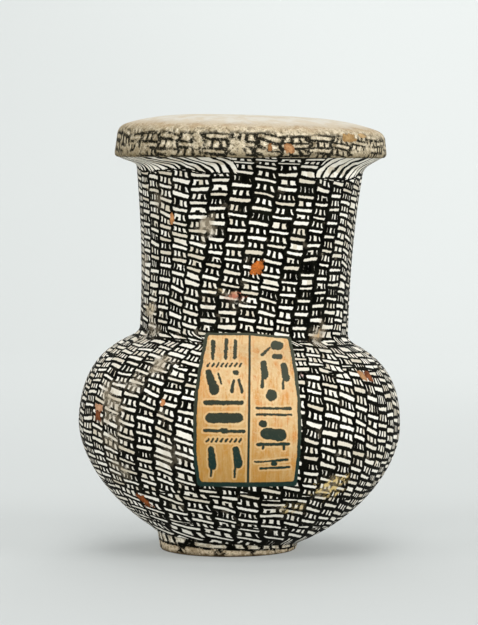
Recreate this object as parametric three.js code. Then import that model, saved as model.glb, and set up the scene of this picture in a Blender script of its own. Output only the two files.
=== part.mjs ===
// A small dummy vase, carved from one block of wood and painted all over.
// It has a low pad foot, a squat round belly, a wide straight neck and a thick rim.
// The top is closed and slightly domed, because the real vase was never hollowed.
// Millimetres, +Z up. The origin is the middle of the foot's flat underside.
import * as THREE from "three";

// Driving dimensions. Heights are measured along the vase's own axis.
const footRadius = 28.3;
const footHeight = 5.5;
const footTaper = 0.9;
const footEdge = 1.5;
const bodyOverhang = 0.7;

const bellyRadius = 63.8;
const bellyDepth = 52.5;
const bellyRise = 33.4;
// 2 would make the lower belly a true ellipse; a smaller power makes it more pointed.
const bellyPower = 1.78;
const shoulderSlope = 64;
const shoulderFullness = 0.54;
const shoulderTightness = 0.75;

const neckRadius = 41.4;
const neckLength = 62.2;
const neckFlare = 3.8;
const neckRootHeight = 4.2;
const neckRootReach = 3.4;

const rimRadius = 54.2;
const rimThickness = 10.8;
const rimTaper = 0.7;
const rimLowerEdge = 1.8;
const rimUpperEdge = 3.4;
const rimFlareHeight = 6.4;
// Shares of the flare: how far it stays upright, and where and how deep it turns outwards.
const flareUpright = 0.62;
const flareTurn = 0.3;
const flareDepth = 0.42;

const domeRise = 6;
const domeFlatness = 3.75;

// The vase stands a little askew: degrees of lean to the right, the offset of the body from
// the foot, and how much higher the body sits on the foot's left side than on its middle.
const lean = 2.4;
const footOffset = 2.5;
const footSkew = 2.3;
const footBlend = 2.6;
const rimUndersideLevel = 2.1;
const domeLevel = 0.65;

// How far the round is out of true: an oval and three lobes, which turn slowly with height.
const ovalDepth = 0.35;
const lobeDepth = 0.2;
const ovalTurn = 31;
const lobeTurn = 19;

// How finely the surface is faceted around the axis.
const sides = 72;

// Radii and levels that follow from the driving dimensions, from the foot up.
const bodyStart = footRadius + bodyOverhang;
const bellyLevel =
  footHeight +
  bellyDepth * (1 - (bodyStart / bellyRadius) ** bellyPower) ** (1 / bellyPower);
const shoulderLevel = bellyLevel + bellyRise;
const neckBottom = shoulderLevel + neckRootHeight;
const neckTop = neckBottom + neckLength;
const rimUnderside = neckTop + rimFlareHeight;
const rimTop = rimUnderside + rimThickness;
const domeTop = rimTop + domeRise;
const domeRadius = rimRadius - rimTaper;
const domeEdge = domeRadius - rimUpperEdge;

const degrees = Math.PI / 180;
const point = (radius, level) => new THREE.Vector2(radius, level);

// The pad foot's rounded lower edge, and its side, which widens a little on its way up.
function footSide() {
  const side = footRadius - footTaper;
  return [
    point(side - footEdge, 0),
    point(side - footEdge * 0.3, footEdge * 0.3),
    point(side, footEdge),
    point(footRadius, footHeight),
  ];
}

// The lower belly is a part of a slightly pointed ellipse, from the foot to the widest level.
function lowerBelly(steps) {
  const power = 2 / bellyPower;
  const start = Math.acos((bodyStart / bellyRadius) ** (1 / power));
  const points = [];
  for (let step = 0; step <= steps; step++) {
    const angle = start * (1 - step / steps);
    points.push(
      point(
        bellyRadius * Math.cos(angle) ** power,
        bellyLevel - bellyDepth * Math.sin(angle) ** power,
      ),
    );
  }
  return points;
}

// The upper belly turns in from the widest level to the slope at which it meets the neck.
function upperBelly() {
  const end = point(neckRadius + neckRootReach, shoulderLevel);
  const reach = bellyRise * shoulderFullness;
  const handle = reach * shoulderTightness;
  return new THREE.CubicBezierCurve(
    point(bellyRadius, bellyLevel),
    point(bellyRadius, bellyLevel + reach),
    point(
      end.x + handle * Math.sin(shoulderSlope * degrees),
      end.y - handle * Math.cos(shoulderSlope * degrees),
    ),
    end,
  );
}

// The hollow where the shoulder turns up into the neck.
function neckRoot() {
  const rise = neckRootReach / Math.tan(shoulderSlope * degrees);
  return new THREE.QuadraticBezierCurve(
    point(neckRadius + neckRootReach, shoulderLevel),
    point(neckRadius, shoulderLevel + rise),
    point(neckRadius, neckBottom),
  );
}

// The neck flares out very slowly on its way up.
function neckSide() {
  return new THREE.QuadraticBezierCurve(
    point(neckRadius, neckBottom),
    point(neckRadius, neckBottom + neckLength / 2),
    point(neckRadius + neckFlare, neckTop),
  );
}

// The rim's underside sweeps out of the neck and slopes up gently to its edge.
function rimFlare() {
  const start = point(neckRadius + neckFlare, neckTop);
  const end = point(rimRadius - rimLowerEdge, rimUnderside);
  return new THREE.CubicBezierCurve(
    start,
    point(start.x, neckTop + rimFlareHeight * flareUpright),
    point(
      start.x + (end.x - start.x) * flareTurn,
      rimUnderside - rimFlareHeight * flareDepth,
    ),
    end,
  );
}

function rimBottomEdge() {
  return new THREE.QuadraticBezierCurve(
    point(rimRadius - rimLowerEdge, rimUnderside),
    point(rimRadius, rimUnderside),
    point(rimRadius, rimUnderside + rimLowerEdge),
  );
}

function domeLevelAt(radius) {
  return domeTop - domeRise * (radius / domeRadius) ** domeFlatness;
}

// The rounded shoulder between the rim's side and the domed top.
function rimTopEdge() {
  return new THREE.QuadraticBezierCurve(
    point(domeRadius, rimTop - rimUpperEdge),
    point(domeRadius, rimTop),
    point(domeEdge, domeLevelAt(domeEdge)),
  );
}

// The outline from the middle of the underside, up the outside, to the middle of the top.
function outline() {
  const points = [point(0, 0), point(footRadius / 2, 0), ...footSide()];
  const follow = (curve, steps) => points.push(...curve.getPoints(steps).slice(1));
  points.push(...lowerBelly(17));
  follow(upperBelly(), 13);
  follow(neckRoot(), 3);
  follow(neckSide(), 7);
  follow(rimFlare(), 5);
  follow(rimBottomEdge(), 2);
  points.push(point(domeRadius, rimTop - rimUpperEdge));
  follow(rimTopEdge(), 4);
  const rings = 8;
  for (let ring = rings - 1; ring >= 0; ring--) {
    const radius = (domeEdge * ring) / rings;
    points.push(point(radius, domeLevelAt(radius)));
  }
  return points;
}

// The unevenness of the round at one place, outwards. The foot and the rim are truer.
function swellAt(angle, radius, level) {
  const onBody =
    THREE.MathUtils.smoothstep(level, footHeight, bellyLevel) *
    (1 - 0.5 * THREE.MathUtils.smoothstep(level, neckTop, rimUnderside));
  const oval = ovalDepth * Math.sin(2 * angle + level / ovalTurn);
  const lobes = lobeDepth * Math.sin(3 * angle - level / lobeTurn);
  return (oval + lobes) * onBody * Math.min(1, radius / neckRadius);
}

// Moves a point of the true round shape to where the carver's eye and hand put it.
function asCarved(x, y, level) {
  const radius = Math.hypot(x, y);
  const swell = radius > 0 ? 1 + swellAt(Math.atan2(y, x), radius, level) / radius : 1;
  const across = x * swell;

  // The foot stands flat, and only its upper edge rises to the left.
  const raisedByFoot =
    -footSkew * (across / footRadius) * Math.min(1, level / footHeight);
  const onFoot = { x: across, z: level + raisedByFoot };

  // The rim and the dome are each cut at a slant of their own.
  const slant =
    rimUndersideLevel * THREE.MathUtils.smoothstep(level, neckTop, rimUnderside) +
    (domeLevel - rimUndersideLevel) *
      THREE.MathUtils.smoothstep(level, rimUnderside, rimTop);
  const raised = level + across * Math.tan(slant * degrees);
  const leaning = {
    x: footOffset + across * Math.cos(lean * degrees) + raised * Math.sin(lean * degrees),
    z: raised * Math.cos(lean * degrees) - across * Math.sin(lean * degrees),
  };

  const body = THREE.MathUtils.smoothstep(level, footHeight, footHeight + footBlend);
  return new THREE.Vector3(
    THREE.MathUtils.lerp(onFoot.x, leaning.x, body),
    y * swell,
    THREE.MathUtils.lerp(onFoot.z, leaning.z, body),
  );
}

function vaseGeometry() {
  const geometry = new THREE.LatheGeometry(outline(), sides);
  geometry.rotateX(Math.PI / 2);
  const places = geometry.getAttribute("position");
  for (let i = 0; i < places.count; i++) {
    const moved = asCarved(places.getX(i), places.getY(i), places.getZ(i));
    places.setXYZ(i, moved.x, moved.y, moved.z);
  }
  geometry.computeVertexNormals();
  return geometry;
}

const paintedWood = new THREE.MeshStandardMaterial({
  color: 0xd9d0bc,
  roughness: 0.75,
  metalness: 0,
});

const vase = new THREE.Mesh(vaseGeometry(), paintedWood);
vase.name = "vase";

const model = new THREE.Group();
model.add(vase);

export default model;
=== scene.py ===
import math

import bmesh
import bpy
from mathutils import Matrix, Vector, geometry


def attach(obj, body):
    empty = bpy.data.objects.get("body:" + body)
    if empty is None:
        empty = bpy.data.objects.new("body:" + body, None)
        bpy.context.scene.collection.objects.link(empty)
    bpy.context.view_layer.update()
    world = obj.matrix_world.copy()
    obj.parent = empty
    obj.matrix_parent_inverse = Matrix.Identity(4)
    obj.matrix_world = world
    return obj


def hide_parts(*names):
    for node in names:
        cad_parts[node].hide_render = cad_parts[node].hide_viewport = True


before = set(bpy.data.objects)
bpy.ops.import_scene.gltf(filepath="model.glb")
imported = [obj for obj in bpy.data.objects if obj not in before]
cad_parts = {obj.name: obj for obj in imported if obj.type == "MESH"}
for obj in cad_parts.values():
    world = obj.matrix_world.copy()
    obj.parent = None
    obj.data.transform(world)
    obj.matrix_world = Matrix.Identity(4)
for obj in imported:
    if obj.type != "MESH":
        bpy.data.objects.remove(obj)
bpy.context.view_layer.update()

# The vase stands on a sheet of pale paper that curves up behind it and glows a little, as if lit
# from beneath. A softbox stands to each side in front, others hang over the front and the back,
# and the room is pale and even.
bpy.context.scene.view_settings.view_transform = "Standard"

world = bpy.data.worlds.new("pale_room")
world.use_nodes = True
world.node_tree.nodes["Background"].inputs["Color"].default_value = (0.93, 0.94, 0.93, 1)
world.node_tree.nodes["Background"].inputs["Strength"].default_value = 0.35
bpy.context.scene.world = world


def soft_light(name, place, aim, size, power):
    lamp = bpy.data.lights.new(name, "AREA")
    lamp.shape = "DISK"
    lamp.size = size
    lamp.energy = power
    holder = bpy.data.objects.new(name, lamp)
    holder.location = place
    holder.rotation_euler = (Vector(aim) - Vector(place)).to_track_quat("-Z", "Y").to_euler()
    bpy.context.scene.collection.objects.link(holder)


soft_light("overhead_softbox", (0.0, 0.5, 1.4), (0, 0.3, 0.08), 1.2, 8.5)
soft_light("high_front_softbox", (0.0, -0.8, 1.2), (0, 0, 0.1), 0.7, 5.4)
soft_light("left_softbox", (-1.3, -0.8, 0.65), (0, 0, 0.06), 0.9, 8.5)
soft_light("right_softbox", (1.3, -0.8, 0.65), (0, 0, 0.06), 0.9, 11.5)
soft_light("fill_under_camera", (0.1, -1.8, 0.08), (0, 0, 0.04), 0.15, 6.2)
soft_light("wash_on_backdrop", (0.3, 1.0, 1.2), (0.3, 1.75, 0.35), 0.6, 11.8)

paper_mesh = bmesh.new()
paper_front, paper_turn, paper_height, paper_width = -3.0, 1.1, 3.0, 5.0
curve_radius, curve_steps = 0.7, 16
across_paper = [
    paper_mesh.verts.new((side * paper_width, paper_front, 0)) for side in (-0.5, 0.5)
]
front_edge = paper_mesh.edges.new(across_paper)


def extruded(mesh, edges, move):
    made = bmesh.ops.extrude_edge_only(mesh, edges=edges)["geom"]
    moved = [part for part in made if isinstance(part, bmesh.types.BMVert)]
    bmesh.ops.translate(mesh, vec=move, verts=moved)
    new_edges = [part for part in made if isinstance(part, bmesh.types.BMEdge)]
    return [edge for edge in new_edges if all(end in moved for end in edge.verts)]


paper_edge = extruded(paper_mesh, [front_edge], (0, paper_turn - paper_front, 0))
for step in range(curve_steps):
    start, end = (math.pi / 2 * s / curve_steps for s in (step, step + 1))
    paper_edge = extruded(
        paper_mesh,
        paper_edge,
        (
            0,
            curve_radius * (math.sin(end) - math.sin(start)),
            curve_radius * (math.cos(start) - math.cos(end)),
        ),
    )
extruded(paper_mesh, paper_edge, (0, 0, paper_height))
paper_data = bpy.data.meshes.new("paper_sweep")
bmesh.ops.recalc_face_normals(paper_mesh, faces=paper_mesh.faces)
paper_mesh.to_mesh(paper_data)
paper_data.shade_smooth()
paper = bpy.data.objects.new("paper_sweep", paper_data)
bpy.context.scene.collection.objects.link(paper)

paper_finish = bpy.data.materials.new("pale_paper")
paper_finish.use_nodes = True
paper_shader = paper_finish.node_tree.nodes["Principled BSDF"]
paper_shader.inputs["Base Color"].default_value = (0.36, 0.375, 0.37, 1)
paper_shader.inputs["Roughness"].default_value = 0.9
paper_shader.inputs["Emission Color"].default_value = (0.96, 1.0, 0.985, 1)
paper_shader.inputs["Emission Strength"].default_value = 0.24
paper_data.materials.append(paper_finish)

# The photograph's view: a long lens just over a metre away, level with the rim's underside and
# tipped down a little. The foot's middle is left of the picture's middle.
mm = 0.001
picture_width, picture_height, film_size = 478, 625, 36
focal_pixels, foot_pixel, horizon_pixel = 2859, 227.9, 157.5
camera_distance, camera_height = 1140 * mm, 156.4 * mm
lens = bpy.data.cameras.new("long_lens")
lens.sensor_width = film_size
lens.lens = focal_pixels / picture_height * film_size
camera = bpy.data.objects.new("camera", lens)
camera.location = (0, -camera_distance, camera_height)
tip = math.atan((picture_height / 2 - horizon_pixel) / focal_pixels)
turn = math.atan((picture_width / 2 - foot_pixel) / focal_pixels)
camera.rotation_euler = (math.pi / 2 - tip, 0, -turn)
bpy.context.scene.collection.objects.link(camera)
bpy.context.scene.camera = camera

# The body is one block of wood, cut to a pad foot, a round belly, a wide neck and a thick rim
# with a closed, domed top. Its outline is spun round the axis, then set askew as it was carved.
foot_radius, foot_height, foot_taper, foot_edge = 28.3 * mm, 5.5 * mm, 0.9 * mm, 1.5 * mm
body_overhang = 0.7 * mm
belly_radius, belly_depth, belly_rise, belly_power = 63.8 * mm, 52.5 * mm, 33.4 * mm, 1.78
shoulder_slope, shoulder_fullness, shoulder_tightness = math.radians(64), 0.54, 0.75
neck_radius, neck_length, neck_flare = 41.4 * mm, 62.2 * mm, 3.8 * mm
neck_root_height, neck_root_reach = 4.2 * mm, 3.4 * mm
rim_radius, rim_thickness, rim_taper = 54.2 * mm, 10.8 * mm, 0.7 * mm
rim_lower_edge, rim_upper_edge = 1.8 * mm, 3.4 * mm
rim_flare_height, flare_upright, flare_turn, flare_depth = 6.4 * mm, 0.62, 0.3, 0.42
dome_rise, dome_flatness = 6 * mm, 3.75

body_start = foot_radius + body_overhang
belly_level = foot_height + belly_depth * (
    1 - (body_start / belly_radius) ** belly_power
) ** (1 / belly_power)
shoulder_level = belly_level + belly_rise
neck_bottom = shoulder_level + neck_root_height
neck_top = neck_bottom + neck_length
rim_underside = neck_top + rim_flare_height
rim_top = rim_underside + rim_thickness
dome_top = rim_top + dome_rise
dome_radius = rim_radius - rim_taper
dome_edge = dome_radius - rim_upper_edge


def at(radius, level):
    return Vector((radius, 0, level))


def straight(start, end, steps):
    return [start.lerp(end, step / steps) for step in range(1, steps + 1)]


def curve(start, first, second, end, steps):
    return geometry.interpolate_bezier(start, first, second, end, steps + 1)[1:]


def bend(start, corner, end, steps):
    return curve(start, start.lerp(corner, 2 / 3), end.lerp(corner, 2 / 3), end, steps)


def lower_belly(steps):
    power = 2 / belly_power
    first = math.acos((body_start / belly_radius) ** (1 / power))
    for step in range(steps + 1):
        angle = first * (1 - step / steps)
        yield at(
            belly_radius * math.cos(angle) ** power,
            belly_level - belly_depth * math.sin(angle) ** power,
        )


def dome_point(radius):
    return at(radius, dome_top - dome_rise * (radius / dome_radius) ** dome_flatness)


foot_side = foot_radius - foot_taper
foot_flat = at(foot_side - foot_edge, 0)
shoulder_end = at(neck_radius + neck_root_reach, shoulder_level)
reach = belly_rise * shoulder_fullness
handle = Vector((math.sin(shoulder_slope), 0, -math.cos(shoulder_slope)))
handle = handle * reach * shoulder_tightness
root_rise = neck_root_reach / math.tan(shoulder_slope)
flare_start = at(neck_radius + neck_flare, neck_top)
flare_end = at(rim_radius - rim_lower_edge, rim_underside)
flare_reach = (flare_end.x - flare_start.x) * flare_turn

flat_steps = 9
outline = [at(0, 0)]
outline += straight(outline[-1], foot_flat, flat_steps)
outline += bend(foot_flat, at(foot_side, 0), at(foot_side, foot_edge), 3)
outline += straight(outline[-1], at(foot_radius, foot_height), 4)
outline += lower_belly(64)
upright_start = outline[-1] + Vector((0, 0, reach))
outline += curve(outline[-1], upright_start, shoulder_end + handle, shoulder_end, 40)
root_corner = at(neck_radius, shoulder_level + root_rise)
outline += bend(shoulder_end, root_corner, at(neck_radius, neck_bottom), 6)
outline += bend(outline[-1], at(neck_radius, neck_bottom + neck_length / 2), flare_start, 58)
outline += curve(
    flare_start,
    at(flare_start.x, neck_top + rim_flare_height * flare_upright),
    at(flare_start.x + flare_reach, rim_underside - rim_flare_height * flare_depth),
    flare_end,
    12,
)
rim_corner = at(rim_radius, rim_underside)
outline += bend(flare_end, rim_corner, at(rim_radius, rim_underside + rim_lower_edge), 3)
outline += straight(outline[-1], at(dome_radius, rim_top - rim_upper_edge), 8)
outline += bend(outline[-1], at(dome_radius, rim_top), dome_point(dome_edge), 6)
dome_rings = 22
outline += [dome_point(dome_edge * ring / dome_rings) for ring in reversed(range(dome_rings))]

around = 360
block = bmesh.new()
run_layer = block.verts.layers.float.new("run")
run = 0.0
last = None
level_runs = []
for place in outline:
    if last is not None:
        run += (place - last.co).length
    vertex = block.verts.new(place)
    vertex[run_layer] = run
    level_runs.append((place.z, run))
    if last is not None:
        block.edges.new((last, vertex))
    last = vertex


def run_at(level):
    """How far along the outline, from the middle of the foot, the body reaches this level."""
    upright_part = level_runs[flat_steps + 1 :]
    for (low, start), (high, end) in zip(upright_part, upright_part[1:]):
        if low <= level <= high and high > low:
            return start + (end - start) * (level - low) / (high - low)


bmesh.ops.spin(
    block,
    geom=block.verts[:] + block.edges[:],
    cent=(0, 0, 0),
    axis=(0, 0, 1),
    angle=math.tau,
    steps=around,
    use_merge=True,
)
bmesh.ops.remove_doubles(block, verts=block.verts, dist=0.01 * mm)
bmesh.ops.recalc_face_normals(block, faces=block.faces)

# The brush strokes follow a map of the surface: turns round the axis from the front's middle, and
# millimetres up the outline. The columns stray from upright by so many millimetres to each one
# that they climb: to the left on the neck, and towards the foot on the belly.
weave = block.loops.layers.uv.new("weave")


def smooth(value, low, high):
    share = min(1.0, max(0.0, (value - low) / (high - low)))
    return share * share * (3 - 2 * share)


neck_slant, belly_slant, side_slant, low_slant, narrowing = 0.09, 0.07, 0.05, 0.22, 0.0205
neck_start = run_at(neck_bottom)
widest_run = run_at(belly_level)


def column_shift(angle, level, run):
    """How far the painted columns stray sideways here, in metres, from true upright lines."""
    along_neck = max(0.0, run - neck_start)
    along_shoulder = max(0.0, min(run, neck_start) - widest_run)
    down_belly = max(0.0, widest_run - run)
    to_side = math.sin(angle)
    on_neck = -(neck_slant + side_slant * to_side) * along_neck
    on_shoulder = -(belly_slant + side_slant * to_side) * along_shoulder
    on_low_belly = -low_slant * to_side * down_belly
    on_body = smooth(-level, -neck_bottom, -shoulder_level)
    narrower_right = -narrowing * math.tau * belly_radius * math.cos(angle) * on_body
    return on_neck + on_shoulder + on_low_belly + narrower_right


mapped = {}
for vertex in block.verts:
    place = vertex.co
    radius = math.hypot(place.x, place.y)
    angle = math.atan2(place.x, -place.y)
    run = vertex[run_layer]
    shift = column_shift(angle, place.z, run) / max(radius, neck_radius / 2)
    mapped[vertex] = (radius < 1e-6, angle, shift, run / mm)

for face in block.faces:
    middle = face.calc_center_median()
    heading = math.atan2(middle.x, -middle.y)
    for loop in face.loops:
        on_axis, angle, shift, along = mapped[loop.vert]
        if on_axis:
            angle = heading
        elif angle - heading > math.pi:
            angle -= math.tau
        elif heading - angle > math.pi:
            angle += math.tau
        loop[weave].uv = ((angle + shift) / math.tau, along)

# The carver left the block a little askew: it is oval with three faint lobes, which turn with the
# height, and leans to the right of its flat foot. The rim and the dome are each cut at a slant.
lean, foot_offset, foot_skew, foot_blend = math.radians(2.4), 2.5 * mm, 2.3 * mm, 2.6 * mm
rim_slant, dome_slant = math.radians(2.1), math.radians(0.65)
oval_depth, lobe_depth, oval_turn, lobe_turn = 0.35 * mm, 0.2 * mm, 31 * mm, 19 * mm


def swell_at(angle, radius, level):
    on_body = smooth(level, foot_height, belly_level)
    on_body *= 1 - 0.5 * smooth(level, neck_top, rim_underside)
    oval = oval_depth * math.sin(2 * angle + level / oval_turn)
    lobes = lobe_depth * math.sin(3 * angle - level / lobe_turn)
    return (oval + lobes) * on_body * min(1, radius / neck_radius)


def as_carved(place):
    """Where the carver's eye and hand put a point of the true round shape."""
    level = place.z
    radius = math.hypot(place.x, place.y)
    swell = 1.0
    if radius > 1e-7:
        swell += swell_at(math.atan2(place.y, place.x), radius, level) / radius
    x, y = place.x * swell, place.y * swell
    on_foot = Vector((x, y, level - foot_skew * x / foot_radius * min(1, level / foot_height)))
    slant = rim_slant * smooth(level, neck_top, rim_underside)
    slant += (dome_slant - rim_slant) * smooth(level, rim_underside, rim_top)
    raised = level + x * math.tan(slant)
    leaning = Vector((
        foot_offset + x * math.cos(lean) + raised * math.sin(lean),
        y,
        raised * math.cos(lean) - x * math.sin(lean),
    ))
    return on_foot.lerp(leaning, smooth(level, foot_height, foot_height + foot_blend))


for vertex in block.verts:
    vertex.co = as_carved(vertex.co)

vase_data = bpy.data.meshes.new("painted_vase")
block.to_mesh(vase_data)
vase_data.shade_smooth()
vase = bpy.data.objects.new("painted_vase", vase_data)
bpy.context.scene.collection.objects.link(vase)

# The paint is one skin over the whole block: a cream ground, drawn over in near-black with a brush.
# Each mark is worked out as the distance from its edge, in millimetres, which is below 0 inside it,
# so the marks join, wobble and wear away as paint does.
paint = bpy.data.materials.new("painted_wood")
paint.use_nodes = True
nodes, links = paint.node_tree.nodes, paint.node_tree.links
shader = nodes["Principled BSDF"]


class Field:
    """A value that differs over the surface: one output of the material's nodes."""

    def __init__(self, socket):
        self.socket = socket

    def __add__(self, other):
        return worked("ADD", self, other)

    def __sub__(self, other):
        return worked("SUBTRACT", self, other)

    def __rsub__(self, other):
        return worked("SUBTRACT", other, self)

    def __mul__(self, other):
        return worked("MULTIPLY", self, other)

    def __truediv__(self, other):
        return worked("DIVIDE", self, other)

    def __gt__(self, other):
        return worked("GREATER_THAN", self, other)

    def __lt__(self, other):
        return worked("LESS_THAN", self, other)

    def __abs__(self):
        return worked("ABSOLUTE", self)

    __radd__, __rmul__ = __add__, __mul__


def wire(socket, value):
    if isinstance(value, Field):
        links.new(value.socket, socket)
    else:
        socket.default_value = value


def node(kind, inputs, **settings):
    made = nodes.new("ShaderNode" + kind)
    for name, setting in settings.items():
        setattr(made, name, setting)
    for name, value in inputs.items():
        wire(made.inputs[name], value)
    return made


def worked(operation, *values):
    return Field(node("Math", dict(enumerate(values)), operation=operation).outputs[0])


def floor(value):
    return worked("FLOOR", value)


def fraction(value):
    return worked("FRACT", value)


def to_end(share):
    """How far a share from 0 to 1 lies from the nearer of its ends."""
    return 0.5 - abs(share - 0.5)


def swing(chance, reach):
    """A random value from 0 to 1, turned into half the reach to either side."""
    return (chance - 0.5) * reach


def least(first, *others):
    for other in others:
        first = worked("MINIMUM", first, other)
    return first


def most(first, *others):
    for other in others:
        first = worked("MAXIMUM", first, other)
    return first


def merged(first, *others, rounding=0.35):
    """The nearer of several edges, with the corner between them filled as wet paint fills it."""
    for other in others:
        first = worked("SMOOTH_MIN", first, other, rounding)
    return first


def ramp(value, low, high):
    """0 below the low value, 1 above the high one, and a smooth step between them."""
    inputs = {"Value": value, "From Min": low, "From Max": high}
    return Field(node("MapRange", inputs, interpolation_type="SMOOTHSTEP").outputs[0])


def below(value, low, high):
    return 1 - ramp(value, low, high)


def vector(operation, inputs, output="Vector"):
    return Field(node("VectorMath", inputs, operation=operation).outputs[output])


def split(field):
    return [Field(socket) for socket in node("SeparateXYZ", {0: field}).outputs]


def joined(x, y=0.0, z=0.0):
    return Field(node("CombineXYZ", {0: x, 1: y, 2: z}).outputs[0])


def cloud(spot, grain, detail=2.0, roughness=0.5):
    """Three soft random values from 0 to 1 that change over about one grain, in millimetres."""
    inputs = {"Vector": spot, "Scale": 1 / grain, "Detail": detail, "Roughness": roughness}
    return split(Field(node("TexNoise", inputs).outputs["Color"]))


def luck(x, y=0.0, z=0.0):
    """Three random values from 0 to 1 that are the same all over one mark."""
    return split(Field(node("TexWhiteNoise", {"Vector": joined(x, y, z)}).outputs["Color"]))


def blend(share, first, second):
    inputs = {0: share, 6: first, 7: second}
    return Field(node("Mix", inputs, data_type="RGBA").outputs[2])


def colour(red, green, blue):
    """A paint's colour from the scale of 0 to 255 that screens use."""
    linear = [((v / 255 + 0.055) / 1.055) ** 2.4 if v > 10 else v / 3295 for v in (red, green, blue)]
    return (*linear, 1)


def up_to(level):
    """The way up the outline to a level, in millimetres as the map has them."""
    return run_at(level) / mm


# Where a point is: turns round from the front's middle and millimetres up the outline, as the map
# says, and its place in millimetres. The levels of the outline turn into ways up it.
turns, up, _ = split(Field(node("UVMap", {}, uv_map="weave").outputs["UV"]))
object_place = Field(node("TexCoord", {}).outputs["Object"])
place = vector("SCALE", {0: object_place, 3: 1 / mm})
px, py, pz = split(place)
off_axis = px - foot_offset / mm - pz * math.sin(lean)
girth = worked("SQRT", off_axis * off_axis + py * py) * math.tau
sideways = worked("SINE", turns * math.tau)
up_foot, up_root, up_neck = up_to(foot_height), up_to(shoulder_level), up_to(neck_bottom)
up_flare, up_rim = up_to(neck_top), up_to(rim_underside)


def distance_to(point):
    return vector("DISTANCE", {0: place, 1: point}, "Value")


# The hand of the painter, from the broadest to the finest: the drift of its weight over the vase,
# the wandering of the rows, blotches of wear, flecks of lost paint, and the tremble of the brush.
drift_x, drift_y, drift_z = cloud(place, 45.0, detail=1.0)
wander_x, wander_y, wander_z = cloud(place, 18.0, detail=1.0)
waver = cloud(place, 6.5, detail=1.0)[0]
blotch_x, blotch_y, blotch_z = cloud(place, 6.0, detail=3.0, roughness=0.6)
fleck_x, fleck_y, fleck_z = cloud(place, 2.6, detail=3.0, roughness=0.7)
shake_x, shake_y, shake_z = cloud(place, 1.1, detail=1.0)
speck_x, speck_y, speck_z = cloud(place, 0.9, detail=2.0, roughness=0.65)

# The weave is painted from foot to rim: columns of a long bar over three or four short marks, left
# pale between near-black strokes, like a plaited basket. Columns end and start anew where the body
# swells or narrows, at levels in millimetres with the count of columns from there up.
row_height, bar_share = 5.3, 0.38
columns_at_foot = 20
column_zones = ((5.5, 27), (13, 38), (27, 48), (76, 41), (85, 37))
body_unevenness, end_unevenness = 5, 0.4
joint_half = 0.45

count, zone, joint = columns_at_foot, 0, 9.0
columns_below = columns_at_foot
for number, (level, columns) in enumerate(column_zones):
    on_body = foot_height < level * mm < neck_bottom
    column_chance = luck(floor(turns * columns), number)[0]
    start = up_to(level * mm) + swing(column_chance, body_unevenness if on_body else end_unevenness)
    passed = up > start
    count = count + passed * (columns - columns_below)
    zone = passed + zone
    joint = least(abs(up - start), joint)
    columns_below = columns

# Rows are taller to the right on the belly, at the root of the neck and above the foot, and they
# stray up and down together. Half a row of shift from column to column makes the plait.
root_stretch, low_stretch, foot_stretch = 0.4, 0.22, 0.2
low_level, near_foot_level = 26 * mm, 12 * mm
stretched = most(0, least(up, up_neck) - up_root + 3) * root_stretch
stretched = stretched - most(0, up_to(low_level) - up) * low_stretch
stretched = stretched - most(0, up_to(near_foot_level) - up) * foot_stretch
stray_across = swing(wander_x, 3.6) + swing(shake_x, 0.22)
stray_up = swing(wander_y, 3.4) + swing(drift_y, 7) + swing(shake_y, 0.22)
above_shoulder = up + stray_up - stretched - up_root
phase = most(above_shoulder, 0) + least(above_shoulder, 0) / (1.09 + sideways * 0.15)
phase = phase / row_height

grid = turns * count + stray_across / girth * count
bulge = worked("COSINE", (phase - bar_share / 2) * math.tau) * worked("COSINE", grid * math.pi)
across = grid + bulge * 0.06
column = floor(across)
share = fraction(across)
width = girth / count
column_luck = luck(column, zone)
steeper_above = ramp(up, up_to(20 * mm), up_to(42 * mm))
tilt = (0.02 + drift_z * 0.2) * (0.3 + 0.7 * steeper_above)
rows = phase + (share - 0.5) * width * tilt / row_height + column * 0.5 + column_luck[0] * 0.16
row = floor(rows)
rise = fraction(rows) * row_height
cell = luck(column, row, zone)

# The brush is heavy in the neck's middle and on the belly, and light on the shoulder. Half its width
# is taken from each side of a stroke's line: bars, the line under them, short marks and dividers.
heavy_middle, heavy_core, heavy_reach = (17, -42, 122), 12, 62
heavy = below(distance_to(heavy_middle), heavy_core, heavy_reach)
on_belly = below(up, up_root, up_neck)
on_shoulder = ramp(up, up_to(70 * mm), up_to(80 * mm)) * on_belly
half_stroke = 0.37 + drift_x * 0.34 + heavy * 0.14 + on_belly * 0.10
half_stroke = half_stroke - on_shoulder * (0.15 - sideways * 0.05)

marks = 3 + (cell[0] > 0.74) - (cell[0] < 0.05)
mark_place = share * marks
stroke_luck = luck(column + 13, row, floor(mark_place + 0.5))
bar_top = row_height * bar_share + cell[1] * 0.5 + (share - 0.5) * width * (cell[2] - 0.5) * 0.16
slant = (column_luck[1] + cell[2] - 1) * 0.5
leant_place = mark_place + slant * (rise / row_height - 0.7) + swing(stroke_luck[1], 0.22)
stroke_end = row_height - most(0, stroke_luck[0] - 0.86) * 12
thick = (stroke_luck[1] > 0.93 - heavy * 0.06) * 0.9
short_stroke = to_end(fraction(leant_place)) * width / marks
short_stroke = short_stroke - half_stroke * (0.75 + stroke_luck[2] * 0.5 + thick)
short_stroke = most(short_stroke, rise - stroke_end, bar_top - rise)
left_plain = cell[0] > 0.965
short_stroke = short_stroke + left_plain * 3
bar_line = least(rise, row_height - rise) - half_stroke
inner_line = abs(rise - bar_top) - half_stroke * 0.85
divider = to_end(share) * width - half_stroke * (1.0 + column_luck[2] * 0.8)
woven_line = merged(short_stroke, bar_line, inner_line, divider, joint - joint_half, rounding=0.3)

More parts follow.
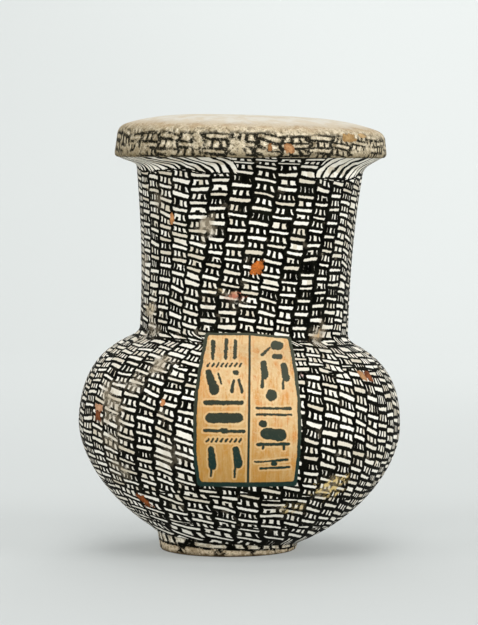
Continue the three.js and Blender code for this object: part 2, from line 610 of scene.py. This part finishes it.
# Under the rim the columns open into fans of long slanting strokes, left and right of the front and
# the back. Each fan starts on one line round the neck and is cut off by the rim.
fan_count, fan_lean, fan_half = 80, 1.5, 0.36
fan_up = up - up_flare + 0.5 + swing(wander_z, 5)
fan_turn = turns * fan_count - sideways * fan_up * fan_count / girth * fan_lean
fan_turn = fan_turn + swing(wander_x, 2.6) + swing(waver, 1.2)
fan_luck = luck(floor(fan_turn + 0.5), 29)
fan_stroke = to_end(fraction(fan_turn)) * girth / fan_count - fan_half - fan_luck[0] * 0.75
fan_line = abs(fan_up - fan_luck[1] * 0.8) - 0.45
fanned = (fan_up > 0) * (up < up_rim) * (abs(sideways) > 0.24 + wander_y * 0.2)
woven_line = woven_line * (1 - fanned) + merged(fan_stroke, fan_line) * fanned
weave_edge = woven_line + swing(shake_z, 0.5)
part = (floor(mark_place) + 1) * (rise > bar_top)
mark_luck = luck(column + zone * 61, row, part)

# Wear on the weave: the ground shows through as beige on rubbed places, each with its middle, its
# size and its strength, and grime lies on others. The last four are on the sides and the back.
rubbed_places = [
    ((-25, -46, 77), 8, 1.0), ((-35, -45, 70), 7, 0.7), ((-46, -36, 65), 8, 0.9),
    ((-45, -40, 58), 9, 0.9), ((-45, -40, 47), 7, 0.7), ((-42, -38, 36), 8, 0.6),
    ((-8, -40, 130), 6, 1.1), ((-31, -18, 97), 5, 1.0), ((-32, -12, 116), 7, 0.6),
    ((-31, -21, 87), 9, 0.8), ((35, -30, 87), 6, 0.8), ((39, -45, 30), 7, 0.6),
    ((21, -48, 21.5), 4, 0.9), ((-20, -55, 44), 9, 0.35), ((3, -42, 103), 6, 0.5),
    ((-28, -27, 140), 7, 0.6), ((48, 30, 70), 16, 0.7), ((-20, 55, 52), 18, 0.7),
    ((10, 42, 122), 15, 0.8), ((-36, 20, 130), 12, 0.6),
]
rubbed = 0.0
for centre, size, strength in rubbed_places:
    away = distance_to(centre) + swing(blotch_x, 14)
    rubbed = most(below(away, size * 0.3, size) * strength, rubbed)
rubbed = least(0.9, rubbed * 0.8 + ramp(blotch_y, 0.60, 0.72) * 0.35)
scraped = ramp(fleck_z + rubbed * 0.16, 0.60, 0.72) * ramp(rubbed, 0.1, 0.6)
ink = below(weave_edge, -0.10, 0.14) * (1 - scraped * 0.6)

cream = blend(mark_luck[0], colour(229, 223, 207), colour(248, 244, 233))
cream = blend(ramp(mark_luck[1], 0.62, 1.0) * 0.7, cream, colour(204, 192, 168))
# The cream is painted paler from the lower belly down to the foot: painted light where less light
# falls under the swell.
painted_light_near_foot = below(up, up_to(8 * mm), up_to(30 * mm))
cream = blend(painted_light_near_foot * 0.75, cream, colour(254, 250, 238))
cream = blend(rubbed * (0.3 + blotch_z * 0.5), cream, colour(186, 171, 146))
cream = blend(ramp(speck_y, 0.60, 0.75) * (0.2 + rubbed * 0.5), cream, colour(160, 143, 115))
black = blend(mark_luck[2], colour(1, 1, 0), colour(17, 18, 12))
black = blend(ramp(speck_z, 0.58, 0.78) * 0.45, black, colour(60, 56, 42))
woven = blend(ink, cream, black)
smeared = rubbed * ramp(blotch_z + swing(shake_x, 0.3), 0.38, 0.60) * 0.6
woven = blend(smeared, woven, colour(172, 158, 134))

# The rim is rubbed nearly bare by hands: broken strokes on a speckled brown ground, darker below
# with painted shade, and a band of bare tan along its top edge. The dome above it is plain cream,
# stained in clouds.
rim_up = up - up_rim
strong_right = below(abs(px - 30), 2, 30) * 0.10 + below(abs(px + 24), 2, 22) * 0.06
kept_strokes = ramp(blotch_z + swing(fleck_x, 0.4) + strong_right, 0.39, 0.51)
rim_edge = weave_edge + swing(fleck_y, 1.3)
rim_ink = below(rim_edge, -0.20, 0.26) * kept_strokes * (1 - ramp(speck_z, 0.54, 0.72) * 0.65)
rim_ink = rim_ink * below(rim_up + swing(blotch_x, 4), 9.5, 12) * 0.98
rim_ground = blend(ramp(fleck_z, 0.38, 0.62), colour(166, 151, 122), colour(212, 199, 172))
rim_ground = blend(ramp(px, -25, 15) * 0.3, rim_ground, colour(236, 222, 194))
rim_ground = blend(below(px, -45, -8) * 0.3, rim_ground, colour(120, 107, 80))
stroke_middles = kept_strokes * ramp(rim_edge, 0.4, 0.9)
rim_ground = blend(stroke_middles * 0.7, rim_ground, colour(244, 234, 212))
rim_ground = blend(ramp(fleck_x, 0.50, 0.66) * 0.8, rim_ground, colour(112, 98, 72))
rim_ground = blend(ramp(speck_y, 0.50, 0.68) * 0.6, rim_ground, colour(92, 80, 56))
# Painted shade: the rim is darkened along its lower edge, towards its underside, where shade falls.
painted_shade_low_on_rim = below(rim_up + swing(fleck_x, 5), 0.5, 5)
rim_ground = blend(painted_shade_low_on_rim * 0.75, rim_ground, colour(116, 102, 72))
rim_ground = blend(ramp(speck_x, 0.62, 0.72) * 0.8, rim_ground, colour(44, 38, 26))
worn_rim = blend(rim_ink, rim_ground, colour(19, 19, 13))
tan_edge = blend(ramp(blotch_y, 0.4, 0.6), colour(172, 150, 118), colour(192, 178, 154))
tan_edge = blend(ramp(speck_y, 0.5, 0.7) * 0.6, tan_edge, colour(140, 108, 70))
worn_rim = blend(ramp(rim_up + swing(blotch_x, 5), 10.5, 15.5), worn_rim, tan_edge)
dome_cream = blend(ramp(blotch_y, 0.42, 0.62) * 0.5, colour(206, 201, 189), colour(192, 174, 144))
worn_rim = blend(ramp(rim_up + swing(blotch_x, 8), 13.5, 22), worn_rim, dome_cream)
on_rim = ramp(up + swing(speck_x, 1.5), up_rim - 0.6, up_rim + 0.6)
skin = blend(on_rim, woven, worn_rim)

# The foot has one row of large pale blocks with black all round them, which turns into leaning
# strokes at the two sides. Below the blocks are worn pink-beige patches down to the standing edge.
block_count, leaning_count = 23, 70
block_bottom, patch_top = -2.9, -3.1
foot_up = up - up_foot + swing(blotch_y, 1.2)
block_turn = turns * block_count + swing(fleck_x, 0.25)
block_luck = luck(floor(block_turn), 5)
block_share = fraction(block_turn)
block_width = girth / block_count
block_side = to_end(block_share) * block_width - 0.7 - block_luck[2] * 0.7
left_whole = block_luck[0] < 0.55
block_split = abs(block_share - 0.45) * block_width - 0.5 + left_whole * 3
block_top = -0.2 - foot_up - (block_luck[1] < 0.3) * 1.1
block_low = foot_up - block_bottom
block_edge = merged(block_side, block_split, block_top, block_low - block_luck[0] * 0.5)
leaning_turn = turns * leaning_count - sideways * foot_up * 0.35
leaning = to_end(fraction(leaning_turn)) * girth / leaning_count - 0.5
at_sides = abs(sideways) > 0.62
block_edge = block_edge * (1 - at_sides) + merged(leaning, block_low, -0.2 - foot_up) * at_sides

patch_turn = turns * block_count + 0.3 + swing(fleck_z, 0.4)
patch_luck = luck(floor(patch_turn), 8)[0]
patch_side = to_end(fraction(patch_turn)) * girth / block_count - 0.4 - patch_luck * 0.6
patch_edge = merged(patch_side, -3.5 - foot_up + swing(blotch_x, 1.2))
in_patches = foot_up < patch_top
foot_line = block_edge * (1 - in_patches) + patch_edge * in_patches + swing(fleck_y, 1.2)
foot_worn = ramp(fleck_z + in_patches * 0.04, 0.56, 0.66) * 0.7
foot_ink = below(foot_line, -0.1, 0.25) * (1 - foot_worn)
foot_ground = blend(block_luck[0], colour(205, 197, 176), colour(236, 229, 210))
foot_ground = blend(in_patches * 0.9, foot_ground, colour(202, 184, 154))
foot_ground = blend(ramp(fleck_y, 0.46, 0.6) * 0.65, foot_ground, colour(128, 108, 78))
foot_specks = ramp(speck_y + in_patches * 0.08, 0.58, 0.72)
foot_ground = blend(foot_specks * 0.6, foot_ground, colour(84, 70, 46))
foot_skin = blend(foot_ink, foot_ground, colour(9, 9, 4))
# A dark brown band along the foot's standing edge: worn wood, with painted contact shadow where the
# foot meets the floor.
worn_and_shaded_foot_edge = below(foot_up + swing(fleck_x, 2), -6.0, -4.6)
foot_skin = blend(worn_and_shaded_foot_edge * 0.85, foot_skin, colour(70, 56, 34))
skin = blend(below(foot_up, -0.1, 0.3), skin, foot_skin)

# The underside was never painted with care: bare worn wood, its grain running from front to back,
# with remains of the pale ground. It ends just inside the edge that the vase stands on.
grain = cloud(joined(px * 0.9, py * 0.12, pz), 1.0, detail=3.0)[0]
bare = blend(ramp(grain, 0.35, 0.65), colour(128, 96, 62), colour(168, 132, 90))
bare = blend(ramp(blotch_x, 0.50, 0.58), bare, colour(196, 182, 154))
flat_edge = foot_flat.x / mm
skin = blend(below(up, flat_edge - 2.5, flat_edge - 0.5), skin, bare)

# The panel on the front is painted over the weave: an ochre ground in a dark green-grey frame, with
# one upright line down its middle. Its sides are bowed, and its sizes are in millimetres.
panel_low, panel_high, frame_line, middle_half = 31.2, 89.0, 1.35, 0.42
climb = (pz - panel_low) / (panel_high - panel_low)
panel_left = -11.7 - climb * 8.76 + climb * climb * 11.96
panel_right = 26.1 + climb * 8.9 - climb * climb * 11.1
panel_wobble = swing(blotch_y, 1.1) + swing(shake_x, 0.3)
from_side = least(px + panel_wobble - panel_left, panel_right - px + panel_wobble)
from_top = panel_high - pz + panel_wobble * 0.6 - most(0, px - 8) * 0.10
from_end = least((pz + panel_wobble * 0.6 - panel_low) * 0.7, from_top * 1.4)
inside = merged(from_side, from_end, rounding=1.6)
frame_edge = inside - frame_line
middle_line = abs(px - 7.6 - climb * 0.8 + panel_wobble * 0.3) - middle_half


def tool(name, kinds, work):
    """A node group that does one piece of work, for use many times over.

    While the work is laid out, new nodes go into the group instead of the material.
    """
    global nodes, links
    group = bpy.data.node_groups.new(name, "ShaderNodeTree")
    for label, kind in kinds.items():
        group.interface.new_socket(label, in_out="INPUT", socket_type="NodeSocket" + kind)
    group.interface.new_socket("Result", in_out="OUTPUT", socket_type="NodeSocketFloat")
    outer = nodes, links
    nodes, links = group.nodes, group.links
    given = nodes.new("NodeGroupInput").outputs
    result = work(*(Field(given[label]) for label in kinds))
    links.new(result.socket, nodes.new("NodeGroupOutput").inputs[0])
    nodes, links = outer

    def used(*values):
        return Field(node("Group", dict(zip(kinds, values)), node_tree=group).outputs[0])

    return used


def gap_to_stroke(spot, start, path, pull, half_start, half_more):
    """How far a spot lies from one brush stroke, whose half width changes along it."""
    offset = vector("SUBTRACT", {0: spot, 1: start})
    along = vector("DOT_PRODUCT", {0: offset, 1: pull}, "Value")
    travelled = least(1.0, most(0.0, along))
    nearest = vector("SCALE", {0: path, 3: travelled})
    gap = vector("DISTANCE", {0: offset, 1: nearest}, "Value")
    return gap - (travelled * half_more + half_start)


brush = tool(
    "brush_stroke",
    {
        "Spot": "Vector",
        "Start": "Vector",
        "Path": "Vector",
        "Pull": "Vector",
        "Half": "Float",
        "More": "Float",
    },
    gap_to_stroke,
)

# The panel's marks are simple brush strokes in rows: no letters, only the size, weight and spacing
# of the painted ones. Each goes from one point to another, with half its width at either end.
strokes = [
    ((-5.6, 85.4), (-5.8, 79.8), 0.95, 0.55),
    ((-0.5, 86.2), (-0.9, 80.0), 0.75, 0.6),
    ((2.9, 86.0), (2.6, 80.2), 0.65, 0.8),
    ((-7.4, 74.6), (-5.2, 68.4), 1.2, 1.9),
    ((-3.6, 74.2), (-2.6, 70.6), 0.5, 0.35),
    ((2.6, 74.8), (3.4, 74.7), 0.8, 0.8),
    ((2.3, 72.0), (1.4, 68.0), 0.5, 0.7),
    ((4.2, 72.0), (5.4, 68.0), 0.5, 0.7),
    ((-8.4, 63.7), (5.4, 63.7), 0.9, 0.8),
    ((-6.6, 58.0), (3.8, 58.0), 1.9, 1.9),
    ((-8.8, 53.2), (6.0, 53.1), 0.6, 0.6),
    ((-2.2, 53.2), (-0.8, 53.2), 1.0, 1.0),
    ((-6.4, 46.0), (-5.8, 39.6), 1.2, 1.5),
    ((-6.2, 39.0), (-6.4, 35.6), 0.55, 0.4),
    ((3.0, 46.0), (3.9, 40.4), 1.3, 1.7),
    ((2.8, 39.6), (2.5, 35.2), 0.5, 0.35),
    ((18.0, 84.2), (20.0, 84.0), 1.5, 1.4),
    ((16.2, 83.4), (13.0, 81.0), 0.35, 0.6),
    ((17.9, 80.4), (20.0, 80.2), 0.95, 0.9),
    ((13.6, 77.8), (14.0, 73.6), 1.2, 1.4),
    ((13.2, 72.8), (13.0, 69.6), 0.5, 0.6),
    ((21.2, 77.0), (22.2, 72.6), 1.2, 1.4),
    ((21.0, 71.6), (21.0, 68.8), 0.5, 0.5),
    ((16.4, 66.4), (16.6, 66.4), 2.1, 2.1),
    ((10.8, 61.7), (23.8, 61.3), 0.4, 0.55),
    ((11.0, 59.4), (24.0, 59.0), 0.5, 0.4),
    ((14.4, 52.2), (20.0, 51.4), 2.2, 2.3),
    ((11.4, 48.0), (23.0, 48.0), 0.6, 0.6),
    ((12.8, 55.9), (13.6, 55.8), 1.2, 1.2),
    ((13.4, 48.0), (13.3, 46.4), 0.5, 0.45),
    ((21.2, 48.0), (21.3, 46.0), 0.5, 0.45),
    ((10.2, 41.2), (22.4, 41.9), 0.3, 0.5),
    ((12.4, 38.6), (23.2, 38.9), 0.4, 0.5),
    ((17.0, 40.5), (17.8, 40.4), 0.9, 0.9),
]
dab_rows, dab_count, dab_step = ((77.5, -7.8), (49.6, -8.0)), 8, 1.75
for dab_level, first_dab in dab_rows:
    for dab in range(dab_count):
        x = first_dab + dab * dab_step
        strokes.append(((x, dab_level - 0.5), (x + 0.7, dab_level + 0.6), 0.42, 0.3))

hand_x = px + swing(fleck_x, 1.1) + swing(shake_x, 0.4)
hand_z = pz + swing(fleck_y, 1.1) + swing(shake_y, 0.4)
panel_place = joined(hand_x, hand_z)
mark_edge = middle_line
for start, end, half_start, half_end in strokes:
    path = Vector((*end, 0)) - Vector((*start, 0))
    pull = path / path.length_squared
    stroke = brush(panel_place, (*start, 0), path, pull, half_start, half_end - half_start)
    mark_edge = least(mark_edge, stroke)

# The ochre is thin and streaked down the panel, more orange to the left and browner low down, with a
# pale halo where the ground was spared round the marks. The dark paint is greyer towards the top.
streak = cloud(joined(px * 1.1, py * 0.3, pz * 0.10), 1.0, detail=3.0, roughness=0.6)
warm = ramp(streak[0] + swing(blotch_x, 0.5) - climb * 0.12, 0.36, 0.66)
ochre = blend(warm, colour(216, 184, 136), colour(202, 148, 84))
orange_left = below(px, -13, -2) * 0.07
ochre = blend(ramp(streak[1] + orange_left, 0.54, 0.70) * 0.65, ochre, colour(198, 122, 56))
ochre = blend(ramp(speck_z + streak[0] * 0.3, 0.66, 0.82) * 0.3, ochre, colour(234, 214, 180))
ochre = blend(ramp(blotch_z + orange_left, 0.50, 0.66) * 0.4, ochre, colour(212, 136, 62))
browner = below(climb + (px - 8) * 0.010, 0.02, 0.72)
ochre = blend(browner * (0.4 + streak[2] * 0.65), ochre, colour(174, 128, 54))
halo = below(abs(mark_edge - 0.45), 0.1, 0.45)
ochre = blend(halo * 0.35, ochre, colour(232, 208, 164))
ochre = blend(ramp(speck_y, 0.62, 0.78) * 0.35, ochre, colour(170, 120, 66))
teal = blend(below(climb, 0.15, 0.5), colour(52, 57, 47), colour(32, 52, 47))
teal = blend(ramp(climb + px * 0.012, 0.5, 1.15) * 0.6, teal, colour(84, 87, 74))
teal = blend(ramp(speck_x, 0.5, 0.75) * 0.35, teal, colour(78, 80, 62))
panel_ink = below(least(mark_edge, frame_edge), -0.12, 0.16)
panel_skin = blend(panel_ink, ochre, teal)
on_panel = ramp(inside, -0.1, 0.15) * (py < 0)
skin = blend(on_panel, skin, panel_skin)


# Chips have lost the paint and show the wood, orange where it is fresh and brown where it is old,
# and browner towards each edge as painted shade in the hollow.
# Each has a place, a shape, and its two browns: shapes are half width, half height, skew, corners.
def gap_to_patch(spot, centre, half_wide, half_high, skew, corners):
    """How far out a spot is in a slanting patch: 1 at its edge. It is squarer with more corners."""
    off_x, off_y, upwards = split(vector("SUBTRACT", {0: spot, 1: centre}))
    level_off = worked("SQRT", off_x * off_x + off_y * off_y)
    level_off = worked("SIGN", off_x) * level_off + upwards * skew
    u, v = abs(level_off) / half_wide, abs(upwards) / half_high
    return most(u, v) * corners + worked("SQRT", u * u + v * v) * (1 - corners)


patch = tool(
    "patch",
    {
        "Spot": "Vector",
        "Centre": "Vector",
        "Wide": "Float",
        "High": "Float",
        "Skew": "Float",
        "Corners": "Float",
    },
    gap_to_patch,
)

chips = [
    ((11.1, -42.3, 114.0), (2.3, 2.9, -0.15, 0.6), (214, 118, 50), (150, 84, 38)),
    ((-21.7, -31.0, 132.7), (1.2, 2.6, 0.0, 0.3), (206, 150, 98), (172, 116, 70)),
    ((-50.3, -31.9, 56.2), (2.4, 2.1, 0.1, 0.8), (146, 88, 54), (100, 56, 34)),
    ((-50.1, -31.9, 59.4), (3.2, 1.2, 0.0, 0.9), (200, 158, 126), (176, 132, 100)),
    ((-32.4, -36.0, 23.3), (2.3, 2.7, 0.7, 0.9), (160, 88, 46), (108, 60, 30)),
    ((52.2, -33.9, 71.8), (2.2, 1.7, 0.1, 0.9), (188, 146, 104), (162, 118, 80)),
    ((54.2, -30.6, 71.2), (2.3, 2.0, 0.1, 0.9), (140, 82, 50), (104, 60, 38)),
    ((15.9, -53.6, 160.0), (0.9, 1.6, 0.1, 0.4), (158, 114, 74), (124, 86, 54)),
    ((23.3, -52.1, 159.8), (1.8, 1.9, 0.3, 0.8), (188, 142, 98), (146, 102, 66)),
    ((46.0, -37.5, 164.0), (3.6, 1.8, 0.3, 0.2), (184, 152, 104), (150, 118, 76)),
    ((52.2, -31.5, 164.8), (2.6, 0.9, 0.5, 0.2), (194, 166, 122), (170, 140, 98)),
    ((-24.7, -54.6, 63.2), (1.1, 1.4, 0.0, 0.3), (206, 146, 98), (184, 124, 78)),
]
chip_depth = 1.3
hollow = 0.0
for centre, shape, fresh, old in chips:
    gap = patch(place, centre, *shape) + swing(fleck_x, 1.5) + swing(shake_x, 0.7)
    chipped = below(gap, 0.90, 1.05)
    hollow = most(chipped, hollow)
    # The brown is the wood's own age, with painted shade added towards the chip's edge.
    age_and_edge_shade = ramp(speck_x * 0.6 + fleck_y * 0.8 + gap * 0.2, 0.62, 0.95)
    skin = blend(chipped, skin, blend(age_and_edge_shade, colour(*fresh), colour(*old)))

# Stains soaked into the weave in patches, pink on the neck and straw yellow low on the belly. The
# strokes show through most of them. Each has a place, a shape as the chips have, and a strength.
stains = [
    ((3.1, -41.6, 103.3), (6.5, 2.2, 0.0, 0.0), (190, 120, 96), 0.85),
    ((28.2, -51.7, 73.7), (1.2, 1.4, 0.3, 0.0), (236, 200, 190), 0.9),
    ((40.0, -44.6, 29.8), (10.5, 6.0, -0.2, 0.0), (222, 194, 130), 0.9),
    ((24.0, -47.4, 21.4), (8.0, 3.4, 0.0, 0.0), (218, 192, 136), 0.85),
    ((-30.6, -17.6, 96.7), (4.5, 3.6, 0.0, 0.0), (206, 190, 156), 0.8),
    ((34.6, -30.3, 86.8), (4.6, 3.4, -0.6, 0.0), (196, 164, 122), 0.9),
    ((-3.0, -42.0, 104.5), (7.0, 2.0, 0.0, 0.0), (214, 192, 150), 0.5),
]
soaked = ramp(fleck_y + swing(shake_y, 0.2), 0.42, 0.56)
through = 1 - ink * below(cloud(place, 3.2, detail=1.0)[0], 0.50, 0.58) * 0.85
for centre, shape, tint, strength in stains:
    gap = patch(place, centre, *shape) + swing(blotch_y, 2.2) + swing(fleck_z, 1.6)
    skin = blend(below(gap, 0.35, 0.95) * soaked * through * strength, skin, colour(*tint))

# The dry paint is matt. Its specks and the worn rim are a little rough to the light, and the chips
# are hollows. The finished block stands for the plain one of the frame.
bump_height = swing(speck_x, 0.10 + on_rim * 0.25) - hollow * chip_depth
bump_height = bump_height + swing(fleck_x, 0.6) * on_rim
bump = node("Bump", {"Strength": 0.6, "Distance": 0.35 * mm, "Height": bump_height})
wire(shader.inputs["Base Color"], skin)
wire(shader.inputs["Roughness"], 0.62 + swing(speck_z, 0.3))
wire(shader.inputs["Normal"], Field(bump.outputs["Normal"]))
shader.inputs["Specular IOR Level"].default_value = 0.02
vase_data.materials.append(paint)

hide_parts("vase")
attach(vase, "root")
